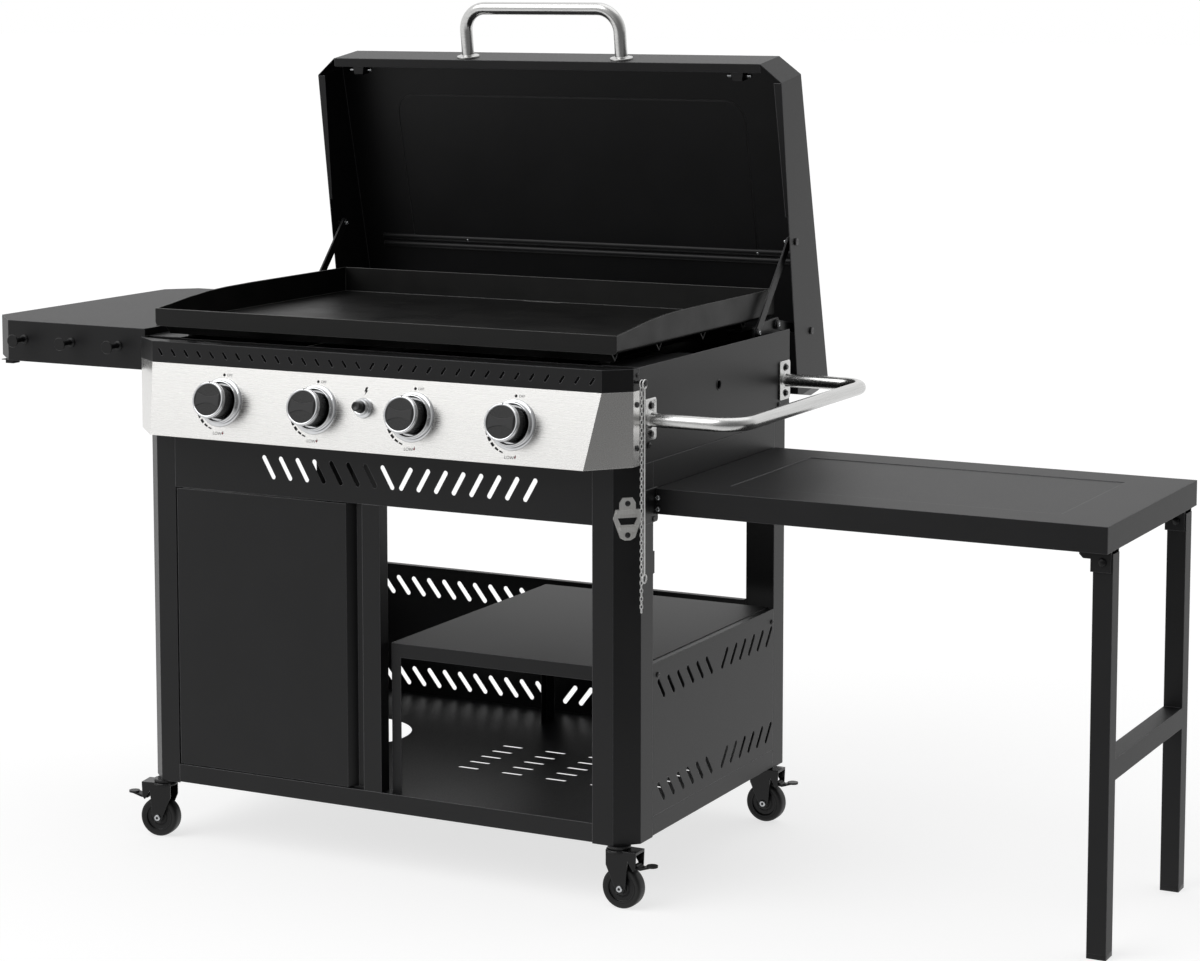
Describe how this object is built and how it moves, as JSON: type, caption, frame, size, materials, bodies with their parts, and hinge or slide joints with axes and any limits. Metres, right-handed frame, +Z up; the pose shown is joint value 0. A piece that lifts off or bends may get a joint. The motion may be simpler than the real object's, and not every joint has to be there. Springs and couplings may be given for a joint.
{
  "type": "outdoor gas griddle station",
  "caption": "Wheeled outdoor gas griddle with a hinged lid, a sloped panel of control knobs, a cabinet with a door, a side shelf, a lower side table on folding legs, and a towel handle.",
  "frame": {"origin": "on the floor under the middle of the whole object's bounding box, lid open and table legs down", "axes": "+Z up, +X towards the side table, -Y towards the person at the control knobs"},
  "size_m": [1.978, 0.8602, 1.3915],
  "materials": {
    "black_paint": "satin powder coat",
    "lid_paint": "satin powder coat",
    "table_paint": "fine textured powder coat",
    "panel_steel": "brushed, brushing across",
    "handle_steel": "satin",
    "small_steel": "satin",
    "griddle_steel": "seasoned, matt",
    "burner_steel": "plain",
    "gas_metal": "plain",
    "bezel_chrome": "polished",
    "knob_plastic": "gloss black with a plated rim",
    "stem_brass": "plain",
    "button_plastic": "gloss black",
    "caster_steel": "gloss black",
    "caster_rubber": "matt",
    "lever_plastic": "matt black",
    "link_paint": "satin",
    "fitting_steel": "dark zinc",
    "chain_chrome": "polished",
    "cup_metal": "plain",
    "hook_plastic": "matt black"
  },
  "bodies": {
    "cart": {"post_front_left": "black_paint", "post_front_right": "black_paint", "post_rear_left": "black_paint", "post_rear_right": "black_paint", "rail_front_bottom": "black_paint", "floor_pan": "black_paint", "side_panel_left": "black_paint", "side_panel_right": "black_paint", "back_panel": "black_paint", "door_jamb": "black_paint", "fascia_beam": "black_paint", "top_rails": "black_paint", "burner_box": "black_paint", "front_trim": "black_paint", "caster_mounts": "black_paint", "tank_shelf": "table_paint", "left_shelf": "table_paint", "table_top": "table_paint", "table_leg_ears": "table_paint", "control_panel": "panel_steel", "griddle_plate": "griddle_steel", "burner_tubes": "burner_steel", "gas_train": "gas_metal", "knob_bezels": "bezel_chrome", "side_handle": "handle_steel", "lid_brackets": "link_paint", "bottle_opener": "small_steel", "shelf_hooks": "hook_plastic"},
    "door": {"cabinet_door": "black_paint"},
    "stem_1": {"valve_stem_1": "stem_brass"},
    "knob_1": {"knob_1": "knob_plastic"},
    "stem_2": {"valve_stem_2": "stem_brass"},
    "knob_2": {"knob_2": "knob_plastic"},
    "stem_3": {"valve_stem_3": "stem_brass"},
    "knob_3": {"knob_3": "knob_plastic"},
    "stem_4": {"valve_stem_4": "stem_brass"},
    "knob_4": {"knob_4": "knob_plastic"},
    "igniter": {"igniter_button": "button_plastic"},
    "lid_links": {"lid_links": "link_paint"},
    "lid": {"lid_shell": "lid_paint", "lid_handle": "handle_steel", "lid_fittings": "fitting_steel"},
    "lid_stays": {"lid_stays": "link_paint"},
    "fork_front_left": {"caster_fork_front_left": "caster_steel"},
    "wheel_front_left": {"caster_wheel_front_left": "caster_rubber"},
    "brake_front_left": {"caster_brake_front_left": "lever_plastic"},
    "fork_front_right": {"caster_fork_front_right": "caster_steel"},
    "wheel_front_right": {"caster_wheel_front_right": "caster_rubber"},
    "brake_front_right": {"caster_brake_front_right": "lever_plastic"},
    "fork_rear_left": {"caster_fork_rear_left": "caster_steel"},
    "wheel_rear_left": {"caster_wheel_rear_left": "caster_rubber"},
    "brake_rear_left": {"caster_brake_rear_left": "lever_plastic"},
    "fork_rear_right": {"caster_fork_rear_right": "caster_steel"},
    "wheel_rear_right": {"caster_wheel_rear_right": "caster_rubber"},
    "brake_rear_right": {"caster_brake_rear_right": "lever_plastic"},
    "table_legs": {"table_leg_frame": "table_paint"},
    "grease_cup": {"grease_cup": "cup_metal"},
    "lighting_set": {"match_chain": "chain_chrome", "lighting_rod": "chain_chrome"}
  },
  "joints": [
    {"name": "door_hinge", "type": "hinge", "parent": "cart", "child": "door", "pos_m": [-0.568, -0.33458, 0.3645], "axis": [0, 0, -1], "range_deg": [0, 110]},
    {"name": "knob_push_1", "type": "slide", "parent": "cart", "child": "stem_1", "axis": [0, 0.9721, -0.2346], "range_m": [0, 0.003], "stiffness_N_per_m": 800},
    {"name": "knob_turn_1", "type": "hinge", "parent": "stem_1", "child": "knob_1", "pos_m": [-0.4535, -0.40404, 0.75719], "axis": [0, -0.9721, 0.2346], "range_deg": [0, 200]},
    {"name": "knob_push_2", "type": "slide", "parent": "cart", "child": "stem_2", "axis": [0, 0.9721, -0.2346], "range_m": [0, 0.003], "stiffness_N_per_m": 800},
    {"name": "knob_turn_2", "type": "hinge", "parent": "stem_2", "child": "knob_2", "pos_m": [-0.2745, -0.40404, 0.75719], "axis": [0, -0.9721, 0.2346], "range_deg": [0, 200]},
    {"name": "knob_push_3", "type": "slide", "parent": "cart", "child": "stem_3", "axis": [0, 0.9721, -0.2346], "range_m": [0, 0.003], "stiffness_N_per_m": 800},
    {"name": "knob_turn_3", "type": "hinge", "parent": "stem_3", "child": "knob_3", "pos_m": [-0.0955, -0.40404, 0.75719], "axis": [0, -0.9721, 0.2346], "range_deg": [0, 200]},
    {"name": "knob_push_4", "type": "slide", "parent": "cart", "child": "stem_4", "axis": [0, 0.9721, -0.2346], "range_m": [0, 0.003], "stiffness_N_per_m": 800},
    {"name": "knob_turn_4", "type": "hinge", "parent": "stem_4", "child": "knob_4", "pos_m": [0.0835, -0.40404, 0.75719], "axis": [0, -0.9721, 0.2346], "range_deg": [0, 200]},
    {"name": "igniter_push", "type": "slide", "parent": "cart", "child": "igniter", "axis": [0, 0.9721, -0.2346], "range_m": [0, 0.004], "stiffness_N_per_m": 500},
    {"name": "lid_link_hinge", "type": "hinge", "parent": "cart", "child": "lid_links", "pos_m": [-0.19, 0.23015, 0.85333], "axis": [1, 0, 0], "range_deg": [0, 155.09]},
    {"name": "lid_hinge", "type": "hinge", "parent": "lid_links", "child": "lid", "pos_m": [-0.19, 0.34738, 0.83077], "axis": [1, 0, 0], "range_deg": [-77.89, 0]},
    {"name": "lid_stay_hinge", "type": "hinge", "parent": "cart", "child": "lid_stays", "pos_m": [-0.19, 0.15017, 0.84695], "axis": [1, 0, 0], "range_deg": [0, 118.45]},
    {"name": "swivel_front_left", "type": "hinge", "parent": "cart", "child": "fork_front_left", "pos_m": [-0.617, -0.32608, 0.0875], "axis": [0, 0, 1], "continuous": true},
    {"name": "roll_front_left", "type": "hinge", "parent": "fork_front_left", "child": "wheel_front_left", "pos_m": [-0.62488, -0.32747, 0.033], "axis": [0.1736, -0.9848, 0], "continuous": true},
    {"name": "brake_front_left", "type": "hinge", "parent": "fork_front_left", "child": "brake_front_left", "pos_m": [-0.64753, -0.33146, 0.068], "axis": [0.1736, -0.9848, 0], "range_deg": [0, 15]},
    {"name": "swivel_front_right", "type": "hinge", "parent": "cart", "child": "fork_front_right", "pos_m": [0.237, -0.32608, 0.0875], "axis": [0, 0, 1], "continuous": true},
    {"name": "roll_front_right", "type": "hinge", "parent": "fork_front_right", "child": "wheel_front_right", "pos_m": [0.245, -0.32608, 0.033], "axis": [0, 1, 0], "continuous": true},
    {"name": "brake_front_right", "type": "hinge", "parent": "fork_front_right", "child": "brake_front_right", "pos_m": [0.268, -0.32608, 0.068], "axis": [0, 1, 0], "range_deg": [0, 15]},
    {"name": "swivel_rear_left", "type": "hinge", "parent": "cart", "child": "fork_rear_left", "pos_m": [-0.617, 0.21592, 0.0875], "axis": [0, 0, 1], "continuous": true},
    {"name": "roll_rear_left", "type": "hinge", "parent": "fork_rear_left", "child": "wheel_rear_left", "pos_m": [-0.62393, 0.21992, 0.033], "axis": [-0.5, -0.866, 0], "continuous": true},
    {"name": "brake_rear_left", "type": "hinge", "parent": "fork_rear_left", "child": "brake_rear_left", "pos_m": [-0.64385, 0.23142, 0.068], "axis": [-0.5, -0.866, 0], "range_deg": [0, 15]},
    {"name": "swivel_rear_right", "type": "hinge", "parent": "cart", "child": "fork_rear_right", "pos_m": [0.237, 0.21592, 0.0875], "axis": [0, 0, 1], "continuous": true},
    {"name": "roll_rear_right", "type": "hinge", "parent": "fork_rear_right", "child": "wheel_rear_right", "pos_m": [0.245, 0.21592, 0.033], "axis": [0, 1, 0], "continuous": true},
    {"name": "brake_rear_right", "type": "hinge", "parent": "fork_rear_right", "child": "brake_rear_right", "pos_m": [0.268, 0.21592, 0.068], "axis": [0, 1, 0], "range_deg": [0, 15]},
    {"name": "table_leg_fold", "type": "hinge", "parent": "cart", "child": "table_legs", "pos_m": [0.974, -0.03258, 0.5925], "axis": [0, 1, 0], "range_deg": [0, 90]},
    {"name": "grease_cup_slide", "type": "slide", "parent": "cart", "child": "grease_cup", "axis": [0, 1, 0], "range_m": [0, 0.12]},
    {"name": "lighting_set_swing", "type": "hinge", "parent": "cart", "child": "lighting_set", "pos_m": [0.274, -0.32508, 0.8225], "axis": [1, 0, 0], "range_deg": [-45, 14]}
  ],
  "couplings": [
    {"joint": "lid_link_hinge", "follows": "lid_hinge", "ratio": -1.9847},
    {"joint": "lid_stay_hinge", "follows": "lid_hinge", "ratio": -1.5143}
  ]
}
